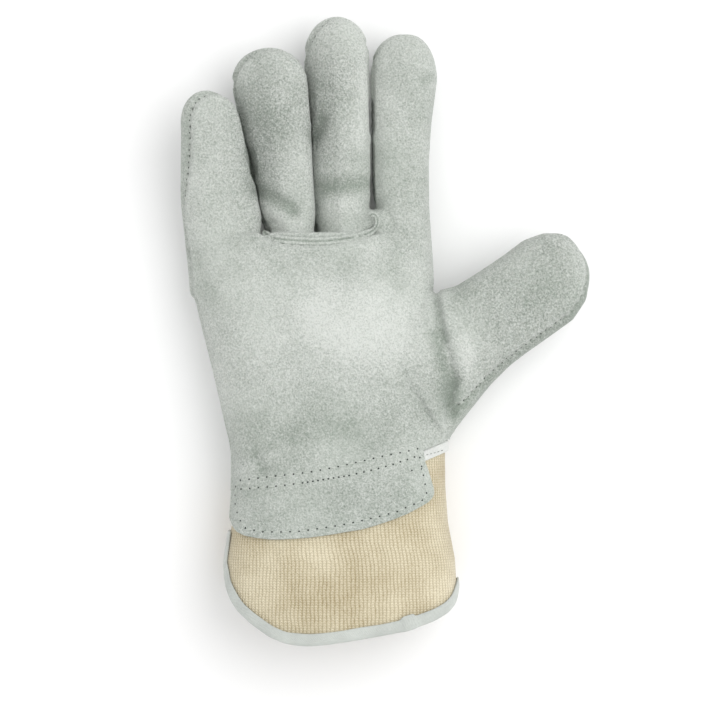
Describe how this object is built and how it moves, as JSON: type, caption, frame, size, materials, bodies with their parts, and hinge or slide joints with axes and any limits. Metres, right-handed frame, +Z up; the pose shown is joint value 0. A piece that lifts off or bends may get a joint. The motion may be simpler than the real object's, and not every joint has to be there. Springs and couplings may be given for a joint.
{
  "type": "leather work glove",
  "caption": "Right-hand split-leather work glove lying palm up, with set-in middle fingers and thumb, a canvas safety cuff open at one side and a bound rim.",
  "frame": {"origin": "on the floor under the middle of the glove's bounding box", "axes": "+Y from the cuff to the fingertips, +X to the thumb side, +Z up out of the palm"},
  "size_m": [0.1754, 0.2684, 0.052],
  "materials": {
    "split_leather": "napped grey split cowhide",
    "cotton_canvas": "undyed woven cotton canvas",
    "twill_binding": "light grey twill tape",
    "white_tape": "white woven tape",
    "sewing_thread": "pale cotton thread"
  },
  "bodies": {
    "root": {"palm_panel": "split_leather", "ring_finger_front": "split_leather", "middle_finger_front": "split_leather", "finger_base_welt": "split_leather", "fourchette_little_ring": "split_leather", "fourchette_ring_middle": "split_leather", "fourchette_middle_index": "split_leather", "back_panel": "split_leather", "thumb_front": "split_leather", "thumb_back": "split_leather", "cuff_canvas": "cotton_canvas", "wrist_patch": "split_leather", "cuff_binding": "twill_binding", "wrist_tape": "white_tape"}
  },
  "joints": []
}
